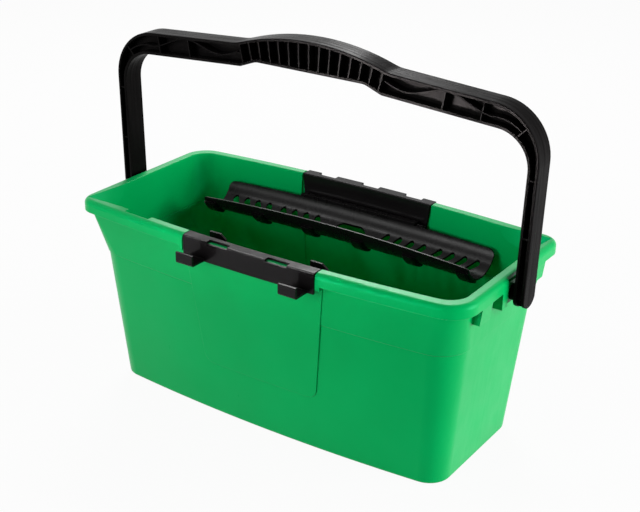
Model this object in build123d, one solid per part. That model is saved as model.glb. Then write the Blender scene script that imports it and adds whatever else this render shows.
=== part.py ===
from build123d import *
from math import cos, pi, sin
import os

# A window cleaning bucket in millimetres. The origin is the middle of the base, on the floor.
# +X runs along the long side to the right, -Y is the front and +Z is up.

# Tub
tub_height = 217.5
mouth_length = 480.0
mouth_end_width = 212.0
mouth_bow = 14.0
base_length = 422.0
base_end_width = 160.0
base_bow = 11.0
base_corner = 25.0
base_edge_round = 2.0
tub_wall = 3.0
tub_floor = 3.0
shoulder_height = 155.5
shoulder_step = 1.0
shoulder_corner = 33.0
shoulder_bury = 0.5
inner_shoulder_lift = 3.0
top_corner = 24.0
pour_corner = 4.0

# Rim of the tub
rim_corner = 31.0
rim_pour_corner = 19.0
rim_overhang = 7.2
flange_width = 13.5
flange_thickness = 5.0
skirt_height = 14.0
skirt_wall = 2.5
rim_round = 6.0
rim_inner_chamfer = 1.0
skirt_edge_round = 0.8
spout_along_side = 60.0
spout_along_end = 50.0
spout_depth = 45.0
spout_flare = 6.0
spout_foot = 7.0
spout_inset = 0.5
rim_notch_near = 137.0
rim_notch_far = 172.0
rim_notch_rest = 6.3
rim_notch_depth = 6.0
rim_notch_wall = 3.0

# Raised panel on each long side
panel_half_top = 88.5
panel_half_bottom = 72.0
panel_bottom = 63.5
panel_corner = 12.0
panel_rise_low = 0.5
panel_rise_high = 2.4
panel_edge_round = 0.5

# Clips on the long sides of the rim
front_clip_length = 163.0
rear_clip_length = 169.0
rear_clip_taper = 3.0
clip_wall = 2.5
clip_clearance = 0.3
clip_edge_round = 1.2
clip_outer_height = 23.0
front_clip_inner_height = 26.0
seat_end_clearance = 1.5
seat_depth = 36.0
seat_post_width = 5.0
seat_post_drop = 4.0

# Hooks and slots of the front clip
hook_width = 21.0
hook_spacing = 128.0
hook_wall = 2.5
outer_hook_reach = 20.0
outer_hook_height = 12.5
inner_hook_reach = 23.0
inner_hook_height = 13.0
inner_hook_drop = 19.5
hook_corner_length = 7.0
hook_corner_height = 5.0
clip_slot_length = 26.5
clip_slot_spacing = 73.5
clip_slot_depth = 7.0

# Notches and sieve rail of the rear clip
notch_width = 23.0
notch_spacing = 57.0
notch_depth = 8.0
rail_drop = 27.5
rail_wall = 2.0
rail_width = 8.3
rail_lip_height = 3.2

# Sieve
sieve_length = 354.0
sieve_radius = 29.0
sieve_edge_drop = 3.0
sieve_lip_drop = 5.5
sieve_back_drop = 2.5
sieve_lip_trim = 0.3
sieve_bridge_rise = 2.5
sieve_wall = 1.8
sieve_bow_radius = 3000.0
sieve_shift = -3.0
sieve_corner = 8.0
sieve_hook_clearance = 0.6
sieve_hook_leg = 3.0
sieve_hook_setback = 0.5
sieve_hook_length = 152.0
foot_count = 6
foot_width = 16.0
foot_height = 4.0
foot_round = 3.5
foot_back = 8.0
slots_per_bay = 4
slot_pitch = 15.7
slot_width = 6.8
slot_length = 33.0
slot_spread = 5.0
slot_angle = 35.0
slot_back = 19.5
middle_slot_length = 43.0
middle_slot_width = 24.0

# Handle
handle_depth = 26.0
handle_edge_round = 1.0
arm_thickness = 11.7
arm_gap = 3.8
arm_splay = 4.6
bar_height = 24.4
bar_end_top = 384.0
bar_rise = 10.9
bar_outer_radius = 54.0
bar_inner_radius = 36.0
grip_length = 184.0
grip_crown = 15.8
grip_blend = 40.0
grip_under_length = 173.0
grip_step = 7.6
grip_step_run = 20.0
step_low_round = 2.5
step_high_round = 18.0
channel_wall = 3.0
channel_web = 3.0
channel_rib = 1.6
rib_setback = 0.6
rib_overlap = 0.2
fin_count = 15
fin_spread = 180.0
fin_fan_radius = 360.0
bar_rib_inner = 155.5
bar_rib_outer = 197.0
bar_rib_lean = 10.0
arm_rib_low = 259.5
arm_rib_high = 318.5
wave_length = 95.0
wave_height = 6.0
wave_crest = 160.0
wave_drop = 5.6
wave_corner_radius = 47.0
wave_rib = 1.4

# Pivot of the handle in the tub
pivot_drop = 21.0
stud_radius = 6.0
stud_length = 6.0
pivot_clearance = 0.06
stud_end_clearance = 0.8
socket_face_gap = 0.4
hub_radius = 8.5
foot_boss_radius = 7.0

# Handle housing under the end of the rim
housing_drop = 31.0
arm_recess_half = 15.5
arm_recess_depth = 3.0
inner_block_end = 26.5
outer_block_start = 48.0
outer_block_end = 69.0
block_foot = 8.0


def rounded_outline(half_length, half_width, bow, corner, pour, level):
    """A level four-sided face with bowed long sides, and the pour radius at front left and rear right."""
    front_left = Vector(-half_length, -half_width, level)
    front_right = Vector(half_length, -half_width, level)
    rear_right = Vector(half_length, half_width, level)
    rear_left = Vector(-half_length, half_width, level)
    front_middle = Vector(0, -half_width - bow, level)
    rear_middle = Vector(0, half_width + bow, level)
    sides = [
        Edge.make_three_point_arc(front_left, front_middle, front_right),
        Edge.make_line(front_right, rear_right),
        Edge.make_three_point_arc(rear_right, rear_middle, rear_left),
        Edge.make_line(rear_left, front_left),
    ]
    face = Face(Wire(sides))
    for point, radius in (
        (front_left, pour),
        (front_right, corner),
        (rear_right, pour),
        (rear_left, corner),
    ):
        nearest = face.vertices().sort_by_distance(point)[0]
        face = face.fillet_2d(radius, [nearest])
    return face


def between(low, high, share):
    """The value at a share of the way from low to high."""
    return low + (high - low) * share


def wall_outline(level, offset):
    """Outline of the tub's outer wall at a level, moved outward by an offset."""
    share = level / tub_height
    half_length = between(base_length / 2, mouth_length / 2 - rim_overhang - shoulder_step, share)
    half_width = between(base_end_width / 2, mouth_end_width / 2 - rim_overhang - shoulder_step, share)
    return corner_outline(half_length, half_width, level, offset)


def cavity_half(base_size, mouth_size, level):
    """Half the tub's inside length or end width at a level below the shoulder."""
    low = base_size / 2 - tub_wall
    high = mouth_size / 2 - flange_width - shoulder_step
    return between(low, high, level / tub_height)


def side_bow(level):
    """How far the long sides stand out in the middle at a level."""
    return between(base_bow, mouth_bow, level / tub_height)


def cavity_outline(level, offset):
    """Outline of the tub's inner wall at a level, moved outward by an offset."""
    half_length = cavity_half(base_length, mouth_length, level)
    half_width = cavity_half(base_end_width, mouth_end_width, level)
    return corner_outline(half_length, half_width, level, offset - tub_wall, tub_wall)


def corner_outline(half_length, half_width, level, radius_offset, inset=0.0):
    """Outline with the corner radii that belong to its level."""
    if level <= shoulder_height:
        share = level / shoulder_height
        corner = between(base_corner, shoulder_corner, share)
        pour = corner
    else:
        top = tub_height - skirt_height
        share = min(1.0, (level - shoulder_height) / (top - shoulder_height))
        corner = between(shoulder_corner, top_corner, share)
        pour = between(shoulder_corner, pour_corner, share)
    offset = radius_offset + inset
    return rounded_outline(
        half_length + offset,
        half_width + offset,
        side_bow(level),
        corner + radius_offset,
        pour + radius_offset,
        level,
    )


def ruled(faces):
    """Solid with straight walls through a stack of outlines."""
    return Solid.make_loft([face.outer_wire() for face in faces], True)


def rim_outline(inset, level):
    """Outline of the rim's outer edge, moved inward."""
    return rounded_outline(
        mouth_length / 2 - inset,
        mouth_end_width / 2 - inset,
        mouth_bow,
        rim_corner - inset,
        rim_pour_corner - inset,
        level,
    )


def raised(face, height):
    """A face extruded upward."""
    return extrude(face, height, dir=(0, 0, 1))


def slab(x_low, x_high, y_low, y_high, z_low, z_high):
    """A box from its six limits."""
    size = (x_high - x_low, y_high - y_low, z_high - z_low)
    middle = ((x_high + x_low) / 2, (y_high + y_low) / 2, (z_high + z_low) / 2)
    return Pos(*middle) * Box(*size)


skirt_bottom = tub_height - skirt_height
inner_shoulder = shoulder_height + inner_shoulder_lift
reach = mouth_length

# Walls of the tub, below and above the shoulder
lower_wall = ruled([wall_outline(0, 0), wall_outline(shoulder_height, 0)])
lower_wall = fillet(lower_wall.edges().group_by(Axis.Z)[0], base_edge_round)
shoulder_top = shoulder_height + shoulder_bury
upper_wall = ruled(
    [
        wall_outline(shoulder_height - shoulder_step, -shoulder_bury),
        wall_outline(shoulder_top, shoulder_step),
        wall_outline(skirt_bottom, shoulder_step),
        wall_outline(tub_height - flange_thickness / 2, shoulder_step),
    ]
)
lower_cavity = ruled([cavity_outline(tub_floor, 0), cavity_outline(inner_shoulder, 0)])
upper_cavity = ruled(
    [
        cavity_outline(inner_shoulder, shoulder_step),
        cavity_outline(skirt_bottom, shoulder_step),
        cavity_outline(tub_height - rim_inner_chamfer, shoulder_step),
        cavity_outline(tub_height, shoulder_step + rim_inner_chamfer),
        cavity_outline(tub_height + rim_inner_chamfer, shoulder_step + 2 * rim_inner_chamfer),
    ]
)


def panel_mask(inset):
    """Prism through both long sides, with the panel's tapered shape and rounded lower corners."""
    bottom = panel_bottom + inset
    low = panel_half_bottom - inset
    high = panel_half_top - inset
    corners = [(-low, bottom), (low, bottom), (high, tub_height), (-high, tub_height)]
    face = Face(Wire.make_polygon([Vector(x, 0, z) for x, z in corners]))
    lower_corners = face.vertices().group_by(Axis.Z)[0]
    face = face.fillet_2d(panel_corner - inset, lower_corners)
    return extrude(face, reach, dir=(0, 1, 0), both=True)


panel_top = tub_height - flange_thickness / 2
panel = ruled([wall_outline(tub_floor, panel_rise_low), wall_outline(panel_top, panel_rise_high)])
panel = panel & panel_mask(0)
panel_faces = panel.faces().sort_by(Axis.Y)
panel_edges = []
for face in (panel_faces[0], panel_faces[-1]):
    for edges in face.edges().group_by(Axis.Z)[:-1]:
        panel_edges = panel_edges + list(edges)
panel = fillet(panel_edges, panel_edge_round)
panel_recess = ruled(
    [cavity_outline(tub_floor, shoulder_step), cavity_outline(inner_shoulder, shoulder_step)]
)
panel_recess = panel_recess & panel_mask(tub_wall)

# Rim: a flange with a turned-down skirt, deeper beside the clips
rim = raised(rim_outline(0, skirt_bottom), skirt_height)
rim = fillet(rim.edges().group_by(Axis.Z)[-1], rim_round)
rim = rim - raised(rim_outline(skirt_wall, skirt_bottom), skirt_height - flange_thickness)
rim = fillet(rim.edges().group_by(Axis.Z)[0], skirt_edge_round)
clip_space = clip_wall + clip_clearance
post_bottom = skirt_bottom - seat_post_drop
post_height = tub_height - flange_thickness / 2 - rim_round - post_bottom
post_ring = raised(rim_outline(0, post_bottom), post_height)
post_ring = post_ring - raised(rim_outline(clip_space + skirt_wall, post_bottom), post_height)


def seat_zone(side, margin, low, high):
    """Box around the seat of the front clip (side -1) or the rear clip (side 1)."""
    half = (front_clip_length if side < 0 else rear_clip_length) / 2 + seat_end_clearance + margin
    y_low, y_high = sorted((0, side * reach))
    return slab(-half, half, y_low, y_high, low, high)


posts = [post_ring & seat_zone(side, seat_post_width, 0, tub_height) for side in (-1, 1)]

# Housings of the handle's pivots under the rim's ends
end_face = mouth_length / 2
pivot_height = tub_height - pivot_drop
housing_bottom = tub_height - housing_drop
housing_top = tub_height - flange_thickness / 2 - rim_round
socket_face = end_face - arm_recess_depth
housing_wall = wall_outline(housing_bottom, shoulder_step).bounding_box().max.X
housing_root = housing_wall - tub_wall
housing_foot = housing_wall + block_foot
wedge_points = [
    (housing_root, housing_bottom),
    (housing_foot, housing_bottom),
    (end_face, skirt_bottom),
    (end_face, housing_top),
    (housing_root, housing_top),
]
wedge_face = Face(Wire.make_polygon([Vector(x, 0, z) for x, z in wedge_points]))


def wedge(y_low, y_high):
    """Block under the right end of the rim that slopes back to the wall."""
    return Pos(0, y_low, 0) * extrude(wedge_face, y_high - y_low, dir=(0, 1, 0))


housing = [
    wedge(outer_block_start, outer_block_end),
    wedge(-outer_block_end, -outer_block_start),
    slab(housing_root, end_face, -inner_block_end, inner_block_end, housing_bottom, housing_top),
]
arm_recess = slab(socket_face, reach, -arm_recess_half, arm_recess_half, 0, tub_height + 1)
hub_face = socket_face + socket_face_gap
stud_end = hub_face - stud_length
bore_end = stud_end - stud_end_clearance
bore_middle = (bore_end + end_face) / 2
bore = Pos(bore_middle, 0, pivot_height) * Rot(0, 90, 0) * Cylinder(
    stud_radius + pivot_clearance, end_face - bore_end
)

# Thicker piece of the rim around the notch at the front left
notch_zone = slab(-rim_notch_far, -rim_notch_near, -reach, 0, tub_height - rim_notch_depth, tub_height + 1)
notch = raised(rim_outline(rim_notch_rest, tub_height - rim_notch_depth), 2 * rim_notch_depth)
notch = notch & notch_zone
notch_block = raised(rim_outline(skirt_wall / 2, skirt_bottom + skirt_edge_round), skirt_height - rim_round)
notch_block = notch_block & slab(
    -rim_notch_far - rim_notch_wall, -rim_notch_near + rim_notch_wall, -reach, 0, 0, tub_height
)

tub = lower_wall + upper_wall + panel + rim + posts[0] + posts[1] + notch_block
for block in housing:
    tub = tub + block + block.rotate(Axis.Z, 180)
tub = tub - lower_cavity - upper_cavity - panel_recess - notch

# Seats of the clips: the rim is set back by the thickness of a clip on its top, outside and inside
seat_bottom = tub_height - seat_depth
seat_outside = raised(rim_outline(clip_space, post_bottom - 1), 2 * skirt_height)
inner_seat = ruled(
    [
        cavity_outline(seat_bottom, shoulder_step + clip_space),
        cavity_outline(tub_height + 1, shoulder_step + clip_space),
    ]
)
for side in (-1, 1):
    tub = tub - seat_zone(side, 0, tub_height - clip_space, tub_height + 1)
    tub = tub - (seat_zone(side, 0, post_bottom - 1, tub_height + 1) - seat_outside)
    tub = tub - (inner_seat & seat_zone(side, 0, seat_bottom, tub_height + 1))

# Recesses for the arms, sockets for the studs
tub = tub - arm_recess - arm_recess.rotate(Axis.Z, 180)
tub = tub - bore - bore.rotate(Axis.Z, 180)

# Spouts: the inside of the rim flares outward at the two pour corners
def spout_face(flare, level):
    """Level quadrilateral at the front left corner of the mouth, its outer corner moved out."""
    half_length = cavity_half(base_length, mouth_length, level) + shoulder_step
    half_width = cavity_half(base_end_width, mouth_end_width, level) + shoulder_step
    side_x = spout_along_side - half_length
    side_y = half_width + side_bow(level) * (1 - (side_x / half_length) ** 2)
    end_y = spout_along_end - half_width
    points = [
        (-half_length - flare, -half_width - flare),
        (side_x, spout_inset - side_y),
        (side_x, end_y),
        (spout_inset - half_length, end_y),
    ]
    return Face(Wire.make_polygon([Vector(x, y, level) for x, y in points]))


spout = ruled(
    [
        spout_face(-spout_foot, tub_height - spout_depth),
        spout_face(spout_flare, tub_height),
        spout_face(spout_flare, tub_height + 1),
    ]
)
tub = tub - spout - spout.rotate(Axis.Z, 180)

os.makedirs("parts", exist_ok=True)
export_step(tub, "parts/tub.step")

# Clips: an inverted U over the rim, flush with its top, outside and inside
clip_top = tub_height - clip_wall


def clip_shell(side, inner_height, half, taper):
    """Inverted U over the front rim (side -1) or the rear rim (side 1), a little shorter at the bottom."""
    low = tub_height - inner_height
    corners = [(-half + taper, low), (half - taper, low), (half, tub_height), (-half, tub_height)]
    zone = Face(Wire.make_polygon([Vector(x, 0, z) for x, z in corners]))
    blank = raised(rim_outline(0, low), inner_height) & extrude(zone, reach, dir=(0, side, 0))
    outer_edge = blank.edges().group_by(Axis.Z)[-1].sort_by(Axis.Y)[0 if side < 0 else -1]
    blank = fillet(outer_edge, clip_edge_round)
    shell = blank - upper_cavity
    grown = ruled(
        [
            cavity_outline(low - 1, shoulder_step + clip_wall),
            cavity_outline(tub_height, shoulder_step + clip_wall),
        ]
    )
    core = raised(rim_outline(clip_wall, low - 1), clip_top - low + 1) - grown
    shell = shell - core
    middle = mouth_end_width / 2 + mouth_bow - flange_width / 2 - skirt_wall
    y_low, y_high = sorted((side * middle, side * reach))
    return shell - slab(-reach, reach, y_low, y_high, 0, tub_height - clip_outer_height)


def hook(wall_face, reach_out, bottom, height):
    """J-shaped hook that stands out from a wall face, its width along X and centred on X = 0."""
    sign = 1 if reach_out > 0 else -1
    root = wall_face - sign * hook_wall / 2
    tip = wall_face + reach_out
    points = [
        (root, bottom),
        (tip, bottom),
        (tip, bottom + height),
        (tip - sign * hook_wall, bottom + height),
        (tip - sign * hook_wall, bottom + hook_wall),
        (root, bottom + hook_wall),
    ]
    face = Face(Wire.make_polygon([Vector(0, y, z) for y, z in points]))
    corner = face.vertices().sort_by_distance((0, tip, bottom))[0]
    face = face.fillet_2d(hook_wall, [corner])
    return extrude(face, hook_width / 2, dir=(1, 0, 0), both=True)


rim_middle = mouth_end_width / 2 + mouth_bow


def rim_at(x):
    """Half the rim's width at a distance along its bowed side."""
    radius = ((mouth_length / 2) ** 2 + mouth_bow**2) / (2 * mouth_bow)
    return rim_middle - radius + (radius**2 - x**2) ** 0.5


def plate_face(level):
    """Half the tub's inside width at the middle of its long sides, at a level above the shoulder."""
    return cavity_half(base_end_width, mouth_end_width, level) + shoulder_step + side_bow(level)


front_clip = clip_shell(-1, front_clip_inner_height, front_clip_length / 2, 0)
hook_x = hook_spacing / 2
outer_hook_bottom = tub_height - clip_outer_height
inner_hook_bottom = tub_height - inner_hook_drop
inner_face = plate_face(inner_hook_bottom) - rim_middle + rim_at(hook_x)
outer_hook = hook(-rim_at(hook_x), -outer_hook_reach, outer_hook_bottom, outer_hook_height)
inner_hook = hook(-inner_face, inner_hook_reach, inner_hook_bottom, inner_hook_height)
hook_top = inner_hook_bottom + inner_hook_height
hook_corner = [
    (hook_width / 2 - hook_corner_length, hook_top),
    (hook_width / 2, hook_top - hook_corner_height),
    (hook_width, hook_top - hook_corner_height),
    (hook_width, hook_top + 1),
    (hook_width / 2 - hook_corner_length, hook_top + 1),
]
hook_corner = Face(Wire.make_polygon([Vector(x, 0, z) for x, z in hook_corner]))
inner_hook = inner_hook - extrude(hook_corner, reach, dir=(0, 1, 0), both=True)
for x in (-hook_x, hook_x):
    front_clip = front_clip + Pos(x, 0, 0) * outer_hook + Pos(x, 0, 0) * inner_hook
slot_inner = clip_slot_depth - rim_at(clip_slot_spacing / 2)
for x in (-clip_slot_spacing / 2, clip_slot_spacing / 2):
    half = clip_slot_length / 2
    front_clip = front_clip - slab(x - half, x + half, -reach, slot_inner, clip_top, tub_height + 1)
export_step(front_clip, "parts/front_clip.step")


# Rear clip: three notches in its top, and a lipped rail inside on which the sieve hangs
rear_half = rear_clip_length / 2
rear_clip = clip_shell(1, rail_drop, rear_half, rear_clip_taper)
for x in (-notch_spacing, 0, notch_spacing):
    half = notch_width / 2
    outer = rim_at(x) + 1
    rear_clip = rear_clip - slab(
        x - half, x + half, outer - notch_depth, outer, clip_top - 1, tub_height + 1
    )
rail_bottom = tub_height - rail_drop
rail_top = rail_bottom + rail_wall + rail_lip_height
rail_back = plate_face(rail_bottom)
rail_front = rail_back - rail_width
bow_axis = Axis((0, rail_front - sieve_bow_radius, 0), (0, 0, 1))


def along_bow(shape, x):
    """A shape made at the middle of the sieve, carried along its bow to a distance X."""
    return shape.rotate(bow_axis, -x / sieve_bow_radius * 180 / pi)


def swept(face, length):
    """A face in the YZ plane swept along the bow, half to each side."""
    return revolve(along_bow(face, length / 2), bow_axis, length / sieve_bow_radius * 180 / pi)


def yz(y, z):
    """A point in the middle plane."""
    return Vector(0, y, z)


rail_points = [
    (rail_back + clip_wall / 2, rail_bottom),
    (rail_back + clip_wall / 2, rail_bottom + rail_wall),
    (rail_front + rail_wall, rail_bottom + rail_wall),
    (rail_front + rail_wall, rail_top),
    (rail_front, rail_top),
    (rail_front, rail_bottom),
]
rail = Face(Wire.make_polygon([yz(y, z) for y, z in rail_points]))
rear_clip = rear_clip + swept(rail, 2 * (rear_half - rear_clip_taper))
export_step(rear_clip, "parts/rear_clip.step")

# Sieve: a half-pipe trough, bowed in plan, with a hanger at the back that hooks over the rail
leg_front = rail_front + rail_wall + sieve_hook_clearance
leg_back = leg_front + sieve_wall
back_face = rail_front - sieve_hook_clearance
sieve_top = rail_top + sieve_wall
edge_level = sieve_top - sieve_bridge_rise
trough_level = edge_level + sieve_edge_drop
outer_half = (sieve_radius**2 - sieve_edge_drop**2) ** 0.5
inner_radius = sieve_radius - sieve_wall
inner_half = (inner_radius**2 - sieve_edge_drop**2) ** 0.5
trough_middle = back_face - outer_half
trough_sides = [
    Edge.make_line(yz(trough_middle + outer_half, edge_level), yz(trough_middle + inner_half, edge_level)),
    Edge.make_three_point_arc(
        yz(trough_middle + inner_half, edge_level),
        yz(trough_middle, trough_level - inner_radius),
        yz(trough_middle - inner_half, edge_level),
    ),
    Edge.make_line(yz(trough_middle - inner_half, edge_level), yz(trough_middle - outer_half, edge_level)),
    Edge.make_three_point_arc(
        yz(trough_middle - outer_half, edge_level),
        yz(trough_middle, trough_level - sieve_radius),
        yz(trough_middle + outer_half, edge_level),
    ),
]
sieve = swept(Face(Wire(trough_sides)), sieve_length)
hook_face = back_face - sieve_hook_setback
hook_points = [
    (hook_face - sieve_wall, edge_level - 1),
    (hook_face - sieve_wall, sieve_top),
    (leg_back, sieve_top),
    (leg_back, rail_top - sieve_hook_leg),
    (leg_front, rail_top - sieve_hook_leg),
    (leg_front, rail_top),
    (hook_face, rail_top),
    (hook_face, edge_level - 1),
]
hanger = swept(Face(Wire.make_polygon([yz(y, z) for y, z in hook_points])), sieve_hook_length)
sieve = sieve + hanger

# Feet: six short hoops on the front of the trough's underside
foot_disc = Pos(0, trough_middle, trough_level) * Rot(0, 90, 0) * Cylinder(
    sieve_radius + foot_height, foot_width
)
foot_disc = fillet(foot_disc.edges(), foot_round)
foot_hole = Pos(0, trough_middle, trough_level) * Rot(0, 90, 0) * Cylinder(
    sieve_radius - sieve_wall / 2, 2 * foot_width
)
foot_top = edge_level - 2 * sieve_lip_drop
foot = (foot_disc - foot_hole) & slab(-reach, reach, 0, trough_middle - foot_back, 0, foot_top)
foot_pitch = (sieve_length - foot_width) / (foot_count - 1)
for number in range(foot_count):
    sieve = sieve + along_bow(foot, (number - (foot_count - 1) / 2) * foot_pitch)

# The front lip and the back edge fall away to the ends in an arch, and their ends are rounded
half = sieve_length / 2
far = 2 * sieve_length


def under_arch(drop):
    """Everything below an arch that falls by a drop at the sieve's ends."""
    left = Vector(-half, 0, edge_level - drop)
    right = Vector(half, 0, edge_level - drop)
    floor_left = Vector(-half, 0, 0)
    floor_right = Vector(half, 0, 0)
    arch = Edge.make_three_point_arc(left, Vector(0, 0, edge_level - sieve_lip_trim), right)
    sides = [
        arch,
        Edge.make_line(right, floor_right),
        Edge.make_line(floor_right, floor_left),
        Edge.make_line(floor_left, left),
    ]
    face = Face(Wire(sides))
    face = face.fillet_2d(sieve_corner, face.vertices().group_by(Axis.Z)[-1])
    return extrude(face, far, dir=(0, 1, 0), both=True)


cut_low = foot_top - sieve_corner
hook_half = sieve_hook_length / 2
front_cut = slab(-far, far, 0, trough_middle, cut_low, sieve_top) - under_arch(sieve_lip_drop)
sieve = sieve - front_cut
back_cut = slab(hook_half, far, trough_middle, reach, cut_low, sieve_top) - under_arch(sieve_back_drop)
sieve = sieve - back_cut - back_cut.mirror(Plane.YZ)

# Slots in all bays but the middle one, slanted away from the middle
bay_count = foot_count - 1
middle_bay = (bay_count - 1) / 2
cut_depth = sieve_radius + foot_height
slot_middle = trough_middle + slot_back - slot_length / 2 * cos(slot_angle * pi / 180)
slot_lean = slot_length / 2 * sin(slot_angle * pi / 180)


def drain(length, width, turn, y):
    """Upright cutter with rounded ends through the bottom of the trough."""
    cutter = raised(SlotOverall(length, width), cut_depth)
    return Pos(0, y, trough_level - cut_depth) * Rot(0, 0, turn) * cutter


for bay in range(bay_count):
    if bay == middle_bay:
        back_edge = trough_middle + slot_back - middle_slot_width / 2
        sieve = sieve - drain(middle_slot_length, middle_slot_width, 0, back_edge)
        continue
    side = 1 if bay > middle_bay else -1
    for number in range(slots_per_bay):
        back_end = (bay - middle_bay) * foot_pitch + (number - (slots_per_bay - 1) / 2) * slot_pitch
        back_end = back_end + side * slot_spread
        slot = drain(slot_length, slot_width, 90 - side * slot_angle, slot_middle)
        sieve = sieve - along_bow(slot, back_end - side * slot_lean)
sieve = along_bow(sieve, sieve_shift)
export_step(sieve, "parts/sieve.step")

# Handle
arm_inner = mouth_length / 2 + arm_gap
arm_outer = arm_inner + arm_thickness
grip_half = grip_length / 2
bar_end = arm_outer + arm_splay
bar_slope = bar_rise / (bar_end - grip_half)
pivot_radius = handle_depth / 2
arm_bottom = pivot_height - pivot_radius


def bar_top(x):
    """Level of the bar's sloping top at a distance from the middle."""
    return bar_end_top + bar_slope * (bar_end - x)


def xz(x, z):
    """A point in the handle's middle plane."""
    return Vector(x, 0, z)


def handle_outline(inset):
    """Outline of the whole handle, moved inward."""
    grip_top = bar_top(grip_half) + grip_crown - inset
    step_outer = grip_under_length / 2
    step_inner = step_outer - grip_step_run
    under = bar_height - inset
    step_level = bar_top(step_outer) - under
    inner_x = bar_end - arm_thickness
    points = [
        (grip_half, bar_top(grip_half) - inset, grip_blend),
        (bar_end - inset, bar_top(bar_end - inset) - inset, bar_outer_radius - inset),
        (arm_outer - inset, arm_bottom, 0),
        (arm_inner + inset, arm_bottom, 0),
        (inner_x + inset, bar_top(inner_x) - under, bar_inner_radius + inset),
        (step_outer, step_level, max(step_low_round - inset, 0)),
        (step_inner, step_level + grip_step, step_high_round + inset),
    ]
    mirrored = [(-x, z, radius) for x, z, radius in reversed(points)]
    ring = points + mirrored
    edges = [Edge.make_line(xz(*a[:2]), xz(*b[:2])) for a, b in zip(ring, ring[1:])]
    edges.append(Edge.make_three_point_arc(xz(*ring[-1][:2]), xz(0, grip_top), xz(*ring[0][:2])))
    face = Face(Wire(edges))
    for x, z, radius in ring:
        if radius > 0:
            nearest = face.vertices().sort_by_distance(xz(x, z))[0]
            face = face.fillet_2d(radius, [nearest])
    return face


handle = extrude(handle_outline(0), handle_depth / 2, dir=(0, 1, 0), both=True)
side_faces = handle.faces().filter_by(Axis.Y)
handle = fillet(side_faces.edges(), handle_edge_round)
round_end = Pos(0, 0, pivot_height) * Rot(0, 90, 0) * Cylinder(pivot_radius, 2 * reach)
handle = handle & (round_end + slab(-reach, reach, -reach, reach, pivot_height, 2 * reach))
channel_low = arm_bottom - 1
channel_zone = slab(-reach, reach, -reach, reach, channel_low, 2 * reach)
channel = extrude(handle_outline(channel_wall), handle_depth / 2, dir=(0, 1, 0), both=True) & channel_zone
web = slab(-reach, reach, -channel_web / 2, channel_web / 2, 0, 2 * reach)
handle = handle - (channel - web)

# Ribs in the channel
rib_depth = handle_depth - 2 * rib_setback
rib_space = extrude(handle_outline(channel_wall - rib_overlap), rib_depth / 2, dir=(0, 1, 0), both=True)
rib_space = rib_space & channel_zone
bars = []
for x in (bar_rib_inner, bar_rib_outer):
    upright = slab(-channel_rib / 2, channel_rib / 2, -reach, reach, -bar_height, bar_height)
    bars.append(Pos(x, 0, bar_top(x) - bar_height / 2) * Rot(0, bar_rib_lean, 0) * upright)
for z in (arm_rib_low, arm_rib_high):
    bars.append(slab(arm_inner - 1, reach, -reach, reach, z - channel_rib / 2, z + channel_rib / 2))
corner_x = bar_end - bar_outer_radius
corner_z = bar_top(bar_end) - bar_outer_radius
corner_rib = Pos(corner_x, 0, corner_z) * Rot(0, -45, 0) * slab(
    0, 2 * bar_outer_radius, -reach, reach, -channel_rib / 2, channel_rib / 2
)
bars.append(corner_rib)
ribs = [bar & rib_space for bar in bars]
for one in ribs:
    handle = handle + one + one.mirror(Plane.YZ)
fin_middle = bar_top(grip_half) + grip_crown - fin_fan_radius
fin_blank = slab(
    -channel_rib / 2, channel_rib / 2, -reach, reach, fin_fan_radius - 3 * bar_height, 2 * fin_fan_radius
)
for number in range(fin_count):
    place = between(-fin_spread / 2, fin_spread / 2, number / (fin_count - 1))
    fin = Pos(0, 0, fin_middle) * Rot(0, place / fin_fan_radius * 180 / pi, 0) * fin_blank
    handle = handle + (fin & rib_space)

# Waved rib along each straight of the bar, carried round the corner to the corner rib
wave_start = fin_spread / 2
wave_points = 20
corner_points = 6


def wave_level(x):
    """Level of the waved rib's middle at a distance from the handle's middle."""
    swing = wave_height * cos((x - wave_crest) / wave_length * 2 * pi)
    return bar_top(x) - channel_wall - wave_drop + swing


wave_foot_radius = wave_level(corner_x) - corner_z


def wave_line(shift):
    """Upper or lower edge of the waved rib."""
    line = []
    for number in range(wave_points + 1):
        x = between(wave_start, corner_x, number / wave_points)
        line.append(xz(x, wave_level(x) + shift))
    for number in range(1, corner_points + 1):
        share = number / corner_points
        angle = between(pi / 2, pi / 4, share)
        radius = between(wave_foot_radius, wave_corner_radius, share) + shift
        line.append(xz(corner_x + radius * cos(angle), corner_z + radius * sin(angle)))
    return line


upper = wave_line(wave_rib / 2)
lower = wave_line(-wave_rib / 2)
wave = Face(
    Wire(
        [
            Edge.make_spline(upper),
            Edge.make_line(upper[-1], lower[-1]),
            Edge.make_spline(lower),
            Edge.make_line(lower[0], upper[0]),
        ]
    )
)
wave = extrude(wave, rib_depth / 2, dir=(0, 1, 0), both=True) & rib_space
handle = handle + wave + wave.mirror(Plane.YZ)

# Hubs and studs of the pivot
hub_middle = (hub_face + arm_inner + 1) / 2
hub = Pos(hub_middle, 0, pivot_height) * Rot(0, 90, 0) * Cylinder(hub_radius, arm_inner + 1 - hub_face)
stud_middle = (stud_end + hub_face + 1) / 2
stud = Pos(stud_middle, 0, pivot_height) * Rot(0, 90, 0) * Cylinder(stud_radius, hub_face + 1 - stud_end)
boss_middle = (arm_inner + arm_outer) / 2
boss_length = arm_thickness - channel_wall
boss = Pos(boss_middle, 0, pivot_height) * Rot(0, 90, 0) * Cylinder(foot_boss_radius, boss_length)
for one in (hub, stud, boss):
    handle = handle + one + one.mirror(Plane.YZ)
export_step(handle, "parts/handle.step")
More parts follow.
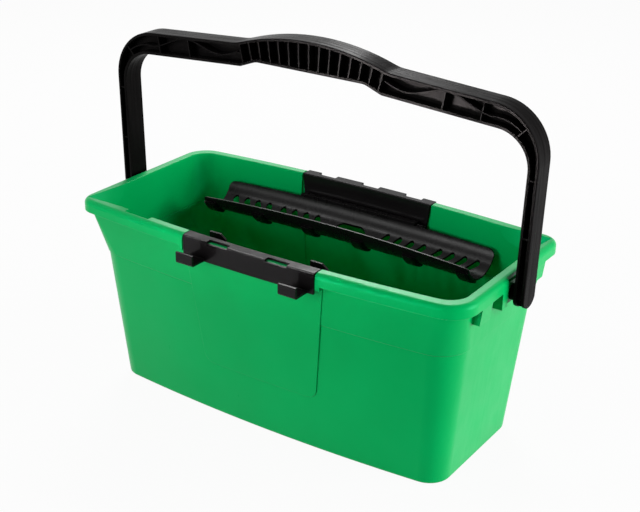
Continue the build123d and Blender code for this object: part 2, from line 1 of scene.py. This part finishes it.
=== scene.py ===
# %% [markdown]
# # A window cleaning bucket
# The real bucket is five plastic mouldings: a green tub, a black bail handle, a clip on each long side of
# the rim, and a sieve that hangs from the rear clip. Their shapes come from the CAD model, so this lesson is
# about the finish of the plastics, the studio around them and the camera. The CAD model is loaded first,
# because everything else is placed by it. Its box is kept.

# %% Load the CAD model
from math import radians

import bpy
from mathutils import Matrix, Vector


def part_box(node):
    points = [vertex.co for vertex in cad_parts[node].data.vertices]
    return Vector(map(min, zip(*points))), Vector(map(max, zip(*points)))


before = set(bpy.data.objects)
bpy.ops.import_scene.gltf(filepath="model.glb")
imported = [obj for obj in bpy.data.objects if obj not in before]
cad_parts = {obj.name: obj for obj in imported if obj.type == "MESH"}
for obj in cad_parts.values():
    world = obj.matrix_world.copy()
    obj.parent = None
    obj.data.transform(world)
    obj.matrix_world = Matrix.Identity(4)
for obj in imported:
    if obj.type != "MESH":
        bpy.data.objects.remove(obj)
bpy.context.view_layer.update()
tub_low, tub_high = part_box("tub")
print("pieces:", sorted(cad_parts))
print("tub in metres:", [round(high - low, 4) for low, high in zip(tub_low, tub_high)])

# %% [markdown]
# ## A plastic to start from
# Every piece is injection moulded, so the four finishes share one recipe. The colour wanders a little where
# the melt flowed, the gloss wanders where the steel of the mould is worn, and the surface has a fine grain.
# A picture could carry all that, but noise on Object coordinates needs no unwrapping, keeps its scale in
# metres, and joins up over every edge. Colour, roughness and bump come from it. A number that is the same
# all over the piece goes straight on the shader's own socket.

# %% Helpers for the node trees
noise_low, noise_high = 0.3, 0.7  # most values of a noise lie between these


def add_node(owner, kind, **settings):
    """A new node of a material or a world, with its settings."""
    node = owner.node_tree.nodes.new(kind)
    for name, value in settings.items():
        setattr(node, name, value)
    return node


def join(owner, source, target):
    """A link from one socket to another."""
    owner.node_tree.links.new(source, target)


def noise(material, place, per_metre, detail, stretch=(1.0, 1.0, 1.0)):
    """Noise on Object coordinates with a number of grains per metre, stretched where asked."""
    mapping = add_node(material, "ShaderNodeMapping", label="stretch")
    mapping.inputs["Scale"].default_value = stretch
    join(material, place.outputs["Object"], mapping.inputs["Vector"])
    grain = add_node(material, "ShaderNodeTexNoise", noise_dimensions="3D")
    grain.inputs["Scale"].default_value = per_metre
    grain.inputs["Detail"].default_value = detail
    join(material, mapping.outputs["Vector"], grain.inputs["Vector"])
    return grain.outputs["Fac"]


def ranged(material, factor, low, high):
    """A noise value carried from its usual middle band to a range."""
    span = add_node(material, "ShaderNodeMapRange")
    span.inputs["From Min"].default_value = noise_low
    span.inputs["From Max"].default_value = noise_high
    span.inputs["To Min"].default_value = low
    span.inputs["To Max"].default_value = high
    join(material, factor, span.inputs["Value"])
    return span.outputs["Result"]


def bumped(material, height, depth, below):
    """A bump of a depth in metres, on top of another normal."""
    bump = add_node(material, "ShaderNodeBump")
    bump.inputs["Strength"].default_value = 1.0
    bump.inputs["Distance"].default_value = depth
    join(material, height, bump.inputs["Height"])
    join(material, below, bump.inputs["Normal"])
    return bump.outputs["Normal"]


print("helpers ready: noise, ranged, bumped")

# %% Recipe of the moulded plastic
flow_per_metre = 7.0
wear_per_metre = 38.0
streaks_per_metre = 260.0
streak_stretch = (1.0, 1.0, 0.04)  # slow along Z, so the streaks stand upright
sinks_per_metre = 24.0
sink_depth = 0.0004
edge_samples = 4


def moulded_plastic(name, colours, gloss, grain_size, grain_depth, edge_radius, streaks):
    """A plastic with flow colour, worn gloss, draw streaks, grain and softly rounded edges."""
    material = bpy.data.materials.new(name)
    material.use_nodes = True
    shader = material.node_tree.nodes["Principled BSDF"]
    place = add_node(material, "ShaderNodeTexCoord")

    flow = noise(material, place, flow_per_metre, detail=3.0)
    ramp = add_node(material, "ShaderNodeValToRGB")
    ramp.color_ramp.elements[0].position = noise_low
    ramp.color_ramp.elements[1].position = noise_high
    ramp.color_ramp.elements[0].color = (*colours[0], 1.0)
    ramp.color_ramp.elements[1].color = (*colours[1], 1.0)
    join(material, flow, ramp.inputs["Fac"])
    join(material, ramp.outputs["Color"], shader.inputs["Base Color"])

    wear = noise(material, place, wear_per_metre, detail=4.0)
    worn = ranged(material, wear, gloss[0], gloss[1])
    draw = noise(material, place, streaks_per_metre, detail=2.0, stretch=streak_stretch)
    drawn = ranged(material, draw, -streaks, streaks)
    total = add_node(material, "ShaderNodeMath", operation="ADD", use_clamp=True)
    join(material, worn, total.inputs[0])
    join(material, drawn, total.inputs[1])
    join(material, total.outputs["Value"], shader.inputs["Roughness"])

    rounded = add_node(material, "ShaderNodeBevel", samples=edge_samples)
    rounded.inputs["Radius"].default_value = edge_radius
    sink = noise(material, place, sinks_per_metre, detail=1.0)
    wavy = bumped(material, sink, sink_depth, rounded.outputs["Normal"])
    grain = noise(material, place, 1.0 / grain_size, detail=1.0)
    join(material, bumped(material, grain, grain_depth, wavy), shader.inputs["Normal"])
    print(f"{name}: roughness {gloss[0]} to {gloss[1]}, grain {1000 * grain_size:.1f} mm")
    return material, shader


# %% [markdown]
# ## Green polypropylene of the tub
# The tub is a satin green polypropylene: the walls are smooth and a little wavy, and a deep tub shows faint
# upright streaks where it was drawn off the core. Such a green is so pure that its highlights stay green
# when they are seen straight on, and turn pale only at a low angle. A tint on the shader's specular colour
# does that, and an index of refraction below that of solid plastic keeps the pale part to the lowest angles.

# %% Tub
green, tub_shader = moulded_plastic(
    "green_polypropylene",
    colours=((0.0, 0.335, 0.078), (0.0, 0.385, 0.094)),
    gloss=(0.30, 0.38),
    grain_size=0.0008,
    grain_depth=0.00001,
    edge_radius=0.0008,
    streaks=0.03,
)
tub_shader.inputs["IOR"].default_value = 1.3
tub_shader.inputs["Specular IOR Level"].default_value = 0.5
tub_shader.inputs["Specular Tint"].default_value = (0.0, 1.0, 0.5, 1.0)

# %% [markdown]
# ## Black plastics
# The handle is moulded in a mould with a fine texture, which keeps a wet hand from slipping, so it is the
# dullest of the black pieces. The clips came out of a polished mould and mirror their own hooks. The sieve
# lies between the two. The three differ in gloss, in grain and in how much they reflect, so the recipe is
# used three times.

# %% Handle, clips and sieve
black_handle, handle_shader = moulded_plastic(
    "black_textured_plastic",
    colours=((0.0034, 0.0031, 0.0032), (0.0052, 0.0048, 0.0048)),
    gloss=(0.22, 0.32),
    grain_size=0.0007,
    grain_depth=0.00002,
    edge_radius=0.0006,
    streaks=0.02,
)
black_clip, clip_shader = moulded_plastic(
    "black_polished_plastic",
    colours=((0.0055, 0.0048, 0.0052), (0.0085, 0.0075, 0.0080)),
    gloss=(0.09, 0.15),
    grain_size=0.0008,
    grain_depth=0.000004,
    edge_radius=0.0006,
    streaks=0.01,
)
black_sieve, sieve_shader = moulded_plastic(
    "black_satin_plastic",
    colours=((0.0040, 0.0036, 0.0038), (0.0060, 0.0055, 0.0056)),
    gloss=(0.24, 0.32),
    grain_size=0.0008,
    grain_depth=0.000008,
    edge_radius=0.0002,
    streaks=0.02,
)
clip_shader.inputs["Specular IOR Level"].default_value = 0.1
sieve_shader.inputs["Specular IOR Level"].default_value = 0.12

# %% [markdown]
# ### Scuffs along the handle
# A hand slides along the bar and along the arms, and the bucket is dragged past others by them. So the
# scuffs run lengthwise: they change quickly across the handle, which is its Y axis, and slowly along the
# other two. They catch more light than the plastic between them, with a warm tint, so they drive the
# specular level.

# %% Scuffs
scuffs_per_metre = 420.0
scuff_stretch = (0.03, 1.0, 0.03)
scuff_levels = (0.003, 0.024)
handle_place = add_node(black_handle, "ShaderNodeTexCoord")
scuffs = noise(black_handle, handle_place, scuffs_per_metre, detail=3.0, stretch=scuff_stretch)
scuff_level = ranged(black_handle, scuffs, *scuff_levels)
join(black_handle, scuff_level, handle_shader.inputs["Specular IOR Level"])
handle_shader.inputs["Specular Tint"].default_value = (1.0, 0.88, 0.87, 1.0)
print("scuffs are", round(1000 / scuffs_per_metre, 1), "mm wide")

# %% Give each piece its finish
finishes = {
    "tub": green,
    "handle": black_handle,
    "front_clip": black_clip,
    "rear_clip": black_clip,
    "sieve": black_sieve,
}
for node_name, material in finishes.items():
    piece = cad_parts[node_name]
    piece.data.materials.clear()
    piece.data.materials.append(material)
    print(node_name, "has", material.name)

# %% [markdown]
# ## Studio
# The bucket stands in a white studio. The floor is a large pale plane that takes the soft shadow. Floor and
# world are white for the camera and for reflections, and dimmer as a light, so that the lamps still model
# the shapes. A small share of the floor's own shading stays in view, and that is what shows the shadow.

# %% Helper for the white background
white = (1.0, 1.0, 1.0, 1.0)


def seen_directly(owner):
    """One for a ray from the camera, a reflection or a view through something, and zero for other rays."""
    path = add_node(owner, "ShaderNodeLightPath")
    by_eye = add_node(owner, "ShaderNodeMath", operation="MAXIMUM")
    join(owner, path.outputs["Is Camera Ray"], by_eye.inputs[0])
    join(owner, path.outputs["Is Glossy Ray"], by_eye.inputs[1])
    at_all = add_node(owner, "ShaderNodeMath", operation="MAXIMUM")
    join(owner, by_eye.outputs["Value"], at_all.inputs[0])
    join(owner, path.outputs["Is Transmission Ray"], at_all.inputs[1])
    return at_all.outputs["Value"]


print("helper ready: seen_directly")

# %% Floor
floor_size = 14.0
floor_drop = 0.0003  # keeps the floor clear of the tub's base
white_share = 0.95
bpy.ops.object.select_all(action="DESELECT")
bpy.ops.mesh.primitive_plane_add(size=floor_size, location=(0.0, 0.0, -floor_drop))
floor = bpy.context.object
floor.name = "studio_floor"
paper = bpy.data.materials.new("white_paper")
paper.use_nodes = True
paper_shader = paper.node_tree.nodes["Principled BSDF"]
paper_shader.inputs["Base Color"].default_value = (0.5, 0.5, 0.5, 1.0)
paper_shader.inputs["Roughness"].default_value = 0.9
paper_shader.inputs["Specular IOR Level"].default_value = 0.1
glow = add_node(paper, "ShaderNodeEmission")
glow.inputs["Color"].default_value = white
glow.inputs["Strength"].default_value = 1.0
share = add_node(paper, "ShaderNodeMath", operation="MULTIPLY")
share.inputs[1].default_value = white_share
join(paper, seen_directly(paper), share.inputs[0])
blended = add_node(paper, "ShaderNodeMixShader")
join(paper, share.outputs["Value"], blended.inputs["Fac"])
join(paper, paper_shader.outputs["BSDF"], blended.inputs[1])
join(paper, glow.outputs["Emission"], blended.inputs[2])
join(paper, blended.outputs["Shader"], paper.node_tree.nodes["Material Output"].inputs["Surface"])
floor.data.materials.append(paper)
print("floor is", floor.dimensions.x, "m wide")

# %% World
world = bpy.data.worlds.new("white_studio")
bpy.context.scene.world = world
world.use_nodes = True
ambient = world.node_tree.nodes["Background"]
ambient.inputs["Color"].default_value = white
ambient.inputs["Strength"].default_value = 0.1
backdrop = add_node(world, "ShaderNodeBackground")
backdrop.inputs["Color"].default_value = white
backdrop.inputs["Strength"].default_value = 1.0
mixed = add_node(world, "ShaderNodeMixShader")
join(world, seen_directly(world), mixed.inputs["Fac"])
join(world, ambient.outputs["Background"], mixed.inputs[1])
join(world, backdrop.outputs["Background"], mixed.inputs[2])
join(world, mixed.outputs["Shader"], world.node_tree.nodes["World Output"].inputs["Surface"])
print("world as a light:", round(ambient.inputs["Strength"].default_value, 3))

# %% [markdown]
# ### Lamps
# Soft boxes give soft edges to the shadows. The strongest stands at the right, because the right end is the
# brightest side in the photograph, and one in front lights the long side. The top box stands behind the
# bucket: from there it brightens the rim, but leaves the walls that the camera sees inside in their own
# shade. The key box adds a little from the upper left. The low box has a narrow beam that reaches only the
# handle, whose web would be lost in black without it.

# %% Lamps
def soft_box(name, place, aim, size, power, beam=180.0):
    """A square area lamp that points at a place, with a grid that narrows its beam where asked."""
    lamp = bpy.data.lights.new(name, "AREA")
    lamp.shape = "SQUARE"
    lamp.size = size
    lamp.energy = power
    lamp.spread = radians(beam)
    holder = bpy.data.objects.new(name, lamp)
    bpy.context.scene.collection.objects.link(holder)
    direction = Vector(aim) - Vector(place)
    turn = direction.to_track_quat("-Z", "Y").to_matrix().to_4x4()
    holder.matrix_world = Matrix.Translation(Vector(place)) @ turn
    print(f"{name}: {power} W from {direction.length:.2f} m")


soft_box("key_box", place=(-1.05, -0.85, 1.7), aim=(0.0, 0.0, 0.15), size=0.4, power=7.0)
soft_box("top_box", place=(-0.9, 1.3, 1.5), aim=(0.0, 0.0, 0.2), size=0.8, power=34.0)
soft_box("right_box", place=(2.0, 0.6, 0.5), aim=(0.2, 0.0, 0.12), size=1.2, power=65.0)
soft_box("front_box", place=(-0.7, -2.05, 0.65), aim=(0.0, 0.0, 0.12), size=0.9, power=31.0)
soft_box("low_box", place=(-0.33, -0.96, 0.06), aim=(0.16, 0.0, 0.38), size=0.4, power=1.2, beam=18.0)

# %% [markdown]
# ## Camera
# The camera stands in front of the right corner and looks down on the bucket. Its place, its turn and its
# focal length were worked out from the straight edges in the photograph, so the picture has the same
# perspective.

# %% Camera
focal_length_mm = 71.95
camera_place = Vector((0.7071, -1.0481, 0.7367))
lens = bpy.data.cameras.new("camera")
lens.lens = focal_length_mm
lens.sensor_width = 36.0
lens.sensor_fit = "HORIZONTAL"
lens.clip_start = 0.05
lens.clip_end = 50.0
camera = bpy.data.objects.new("camera", lens)
bpy.context.scene.collection.objects.link(camera)
right = Vector((0.8284, 0.5598, 0.0163)).normalized()
back = Vector((0.5057, -0.7602, 0.4079)).normalized()
up = back.cross(right).normalized()
right = up.cross(back)
turn = Matrix((right, up, back)).transposed().to_4x4()
camera.matrix_world = Matrix.Translation(camera_place) @ turn
bpy.context.scene.camera = camera
print("camera looks along", [round(-value, 3) for value in back])

# %% Picture settings
bpy.context.scene.view_settings.view_transform = "Standard"
print("view transform:", bpy.context.scene.view_settings.view_transform)
